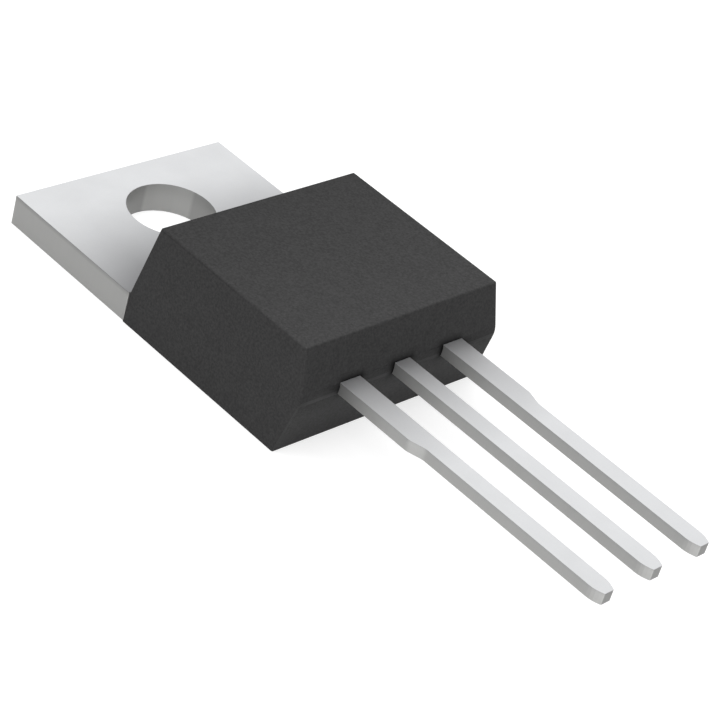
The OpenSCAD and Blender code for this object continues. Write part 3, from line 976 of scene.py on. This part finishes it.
def build_wire_tree():
    inputs = [("Start", "NodeSocketVector", None), ("End", "NodeSocketVector", None)]
    inputs += [(label, "NodeSocketFloat", value) for label, value in WIRE_SIZES]
    inputs += [("Material", "NodeSocketMaterial", None)]
    tree, given, result = new_group("bond_wire_tree", "GeometryNodeTree", inputs,
                                    [("Geometry", "NodeSocketGeometry")])
    fine = rounded_path(tree, given)
    place_on_path = place(tree, "GeometryNodeInputPosition").outputs[0]
    kept = keep_value(tree, fine, "path", place_on_path, "FLOAT_VECTOR")
    kept = keep_value(tree, kept, "roundness", end_roundness(tree, given, fine), "FLOAT")
    radius = math_node(tree, "MULTIPLY", given["Diameter"], 0.5)
    circle = place(tree, "GeometryNodeCurvePrimitiveCircle", {"Resolution": WIRE_SIDES, "Radius": radius})
    swept = place(tree, "GeometryNodeCurveToMesh", {"Curve": kept, "Profile Curve": circle.outputs[0],
                                                    "Fill Caps": True})
    feet = flattened_feet(tree, given, swept.outputs[0])
    smooth = place(tree, "GeometryNodeSetShadeSmooth", {"Geometry": feet})
    real = place(tree, "GeometryNodeRealizeInstances", {"Geometry": smooth.outputs[0]})
    painted = place(tree, "GeometryNodeSetMaterial", {"Geometry": real.outputs[0],
                                                      "Material": given["Material"]})
    tree.links.new(painted.outputs[0], result["Geometry"])
    return tree


WIRE_TREE = build_wire_tree()

# %% [markdown]
# ## Setting out the three wires
#
# The path runs between two faces that are already in the model: the top of the
# die and the top of a bond post. Both are read from the boxes of those nodes, so
# the wires land on them whatever the size of the part. The two thick wires leave
# the die side by side, clear of the gate's corner.

# %% Bond wires
MAIN_WIRE_PITCH = 1.15 * MM
MAIN_FOOT_BACK = 0.45 * MM
GATE_FOOT_INSET = 0.75 * MM
HALF_POST = 0.95 * MM


def grown_piece(tree, name, sizes):
    """The mesh that a Geometry Nodes tree makes from these sizes, baked."""
    carrier = new_object(name + "_carrier", bpy.data.meshes.new(name + "_carrier"))
    modifier = carrier.modifiers.new("grown", "NODES")
    modifier.node_group = tree
    for socket in tree.interface.items_tree:
        if socket.in_out == "INPUT" and socket.name in sizes:
            modifier[socket.identifier] = sizes[socket.name]
    evaluated = carrier.evaluated_get(bpy.context.evaluated_depsgraph_get())
    data = bpy.data.meshes.new_from_object(evaluated)
    bpy.data.objects.remove(carrier)
    data.name = name
    return data


def add_wire(node, name, start, end, sizes):
    data = grown_piece(WIRE_TREE, name, {"Start": start, "End": end, "Material": WIRE, **sizes})
    for helper in ("path", "roundness"):
        data.attributes.remove(data.attributes[helper])
    finish_piece(data, name, node, WIRE)


post_low, post_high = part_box("mt1_lead")
post_middle = Vector(((post_low.x + post_high.x) / 2, post_high.y - HALF_POST, post_high.z))
for number in (1, 2):
    foot = Vector(((number - 2) * MAIN_WIRE_PITCH, die_middle.y + MAIN_FOOT_BACK, die_high.z))
    landing = post_middle + Vector(((number - 1.5) * MAIN_WIRE_PITCH, 0.0, 0.0))
    add_wire("mt1_bond_wire_%d" % number, "main_wire_%d" % number, foot, landing, {})
gate_foot = Vector((die_high.x - GATE_FOOT_INSET, die_low.y + GATE_FOOT_INSET, die_high.z))
gate_landing = Vector((-post_middle.x, post_middle.y, post_middle.z))
add_wire("gate_bond_wire", "gate_wire", gate_foot, gate_landing,
         {"Diameter": 0.18 * MM, "Bend Radius": 0.3 * MM})

# %% [markdown]
# ## The sawn die
#
# The die keeps its shape. A sawn edge is nearly sharp, so its copy only gets a
# chamfer of a few thousandths of a millimetre.

# %% Die
SAWN_EDGE = 0.004 * MM


def sawn_die():
    mesh = welded_copy("silicon_die")
    bmesh.ops.bevel(mesh, geom=sharp_edges(mesh), offset=SAWN_EDGE, offset_type="OFFSET",
                    segments=1, profile=0.5, affect="EDGES", clamp_overlap=True)
    finish_piece(mesh_data(mesh, "sawn_die"), "sawn_die", "silicon_die", SILICON)


sawn_die()

# %% [markdown]
# ## The solder under it
#
# Solder has melted and set again, so its rim slopes from the die down to the pad
# instead of standing up as a wall. The rim is a stack of rounded squares that
# shrink along a quarter of a circle.

# %% Solder
SOLDER_CORNER = 0.35 * MM
RIM_STEPS = 6
CORNER_STEPS = 8
QUARTERS = ((1, 1), (-1, 1), (-1, -1), (1, -1))


def rounded_square(middle, half, rounding, inset):
    """The points of a square with round corners, drawn in by an inset."""
    points = []
    for quarter, (side_x, side_y) in enumerate(QUARTERS):
        corner = middle.xy + Vector((side_x * (half.x - rounding), side_y * (half.y - rounding)))
        for part in range(CORNER_STEPS + 1):
            angle = math.radians(90 * (quarter + part / CORNER_STEPS))
            points.append(corner + Vector((math.cos(angle), math.sin(angle))) * (rounding - inset))
    return points


def solder_layer():
    low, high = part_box("die_solder")
    half = (high - low) / 2
    middle = (low + high) / 2
    rim = half.x - (die_high.x - die_low.x) / 2
    mesh = bmesh.new()
    loops = []
    for step in range(RIM_STEPS + 1):
        turn = math.pi / 2 * step / RIM_STEPS
        level = low.z + (high.z - low.z) * math.sin(turn)
        points = rounded_square(middle, half, SOLDER_CORNER, rim * (1 - math.cos(turn)))
        loops.append([mesh.verts.new((point.x, point.y, level)) for point in points])
    for lower, upper in zip(loops, loops[1:]):
        for k in range(len(lower)):
            following = (k + 1) % len(lower)
            mesh.faces.new((lower[k], lower[following], upper[following], upper[k]))
    mesh.faces.new(loops[-1])
    mesh.faces.new(reversed(loops[0]))
    data = mesh_data(mesh, "solder_layer")
    data.shade_smooth()
    data.set_sharp_from_angle(angle=math.radians(50))
    finish_piece(data, "solder_layer", "die_solder", SOLDER)


solder_layer()

# %% [markdown]
# ## Floor and background
#
# The part lies on its back on a pale floor. A floor that is lit like the part
# can't be quite white, so rays that come from the camera, and those that metal
# reflects, see some extra white in it. Its own light doesn't fall on the part,
# and the part's shadow still shows. Away from the part the lamps fade, so the
# extra white grows with distance and hides where the floor ends.
#
# Two faces in one plane show as streaks, because the renderer can't tell which is
# in front. So the floor lies a hair below the part's flat back.

# %% Floor
FLOOR_DROP = 0.005 * MM
FLOOR_COLOUR = (0.52, 0.52, 0.52, 1.0)
GLOW_NEAR = 0.62
GLOW_GROWS = (60 * MM, 400 * MM)
WHITE = (1.0, 1.0, 1.0, 1.0)


def seen_directly(tree):
    """1 for rays from the camera and for those that are reflected or pass through, otherwise 0."""
    path = place(tree, "ShaderNodeLightPath").outputs
    seen = math_node(tree, "MAXIMUM", path["Is Camera Ray"], path["Is Glossy Ray"])
    return math_node(tree, "MAXIMUM", seen, path["Is Transmission Ray"])


def studio_floor():
    material, tree, shader = new_material("studio_floor")
    shader.inputs["Base Color"].default_value = FLOOR_COLOUR
    shader.inputs["Roughness"].default_value = 1.0
    shader.inputs["Specular IOR Level"].default_value = 0.0
    extra = ramp(tree, length_of(tree, object_position(tree)), *GLOW_GROWS, GLOW_NEAR, 1.0)
    glow = math_node(tree, "MULTIPLY", seen_directly(tree), extra)
    shader.inputs["Emission Color"].default_value = WHITE
    tree.links.new(glow, shader.inputs["Emission Strength"])
    mesh = bmesh.new()
    bmesh.ops.create_grid(mesh, x_segments=1, y_segments=1, size=1.0)
    data = mesh_data(mesh, "studio_floor")
    level = cad_low.z - FLOOR_DROP
    data.transform(Matrix.Translation((0, 0, level)))
    data.materials.append(material)
    floor = new_object("studio_floor", data)
    print("floor at", round(level / MM, 3), "mm")


studio_floor()

# %% [markdown]
# ## Light
#
# The studio is plain: a dim white room and two soft boxes, a large one overhead
# and a small one on the side of the camera. How bright a soft box looks is its
# power over its area, so the helper takes that brightness and works out the power.
#
# A metal face that mirrored a soft box would clip to white from some sides. The
# boxes are hidden from gloss, and what metal mirrors is the room, which is an even
# white for reflected rays. So the plating keeps its own colour from every side.

# %% World and lamps
ROOM = 0.08


def soft_box(name, side, place_at, brightness):
    """A square lamp of that brightness that faces the part. Gloss doesn't show it."""
    lamp = bpy.data.lights.new(name, "AREA")
    lamp.shape = "SQUARE"
    lamp.size = side
    lamp.energy = brightness * math.pi * side * side
    box = new_object(name, lamp)
    box.location = place_at
    box.rotation_euler = (AIM - Vector(place_at)).to_track_quat("-Z", "Y").to_euler()
    box.visible_glossy = False
    print(name, "gives", round(lamp.energy, 2), "W")


world = bpy.data.worlds.new("studio")
world.use_nodes = True
bpy.context.scene.world = world
background = world.node_tree.nodes["Background"]
background.inputs["Color"].default_value = WHITE
room = mix_values(world.node_tree, seen_directly(world.node_tree), ROOM, 1.0)
world.node_tree.links.new(room, background.inputs["Strength"])
soft_box("overhead_box", side=0.70, place_at=(0.0, 0.0, 0.50), brightness=2.5)
soft_box("camera_side_box", side=0.22, place_at=(-0.335, -0.135, 0.169), brightness=3.3)
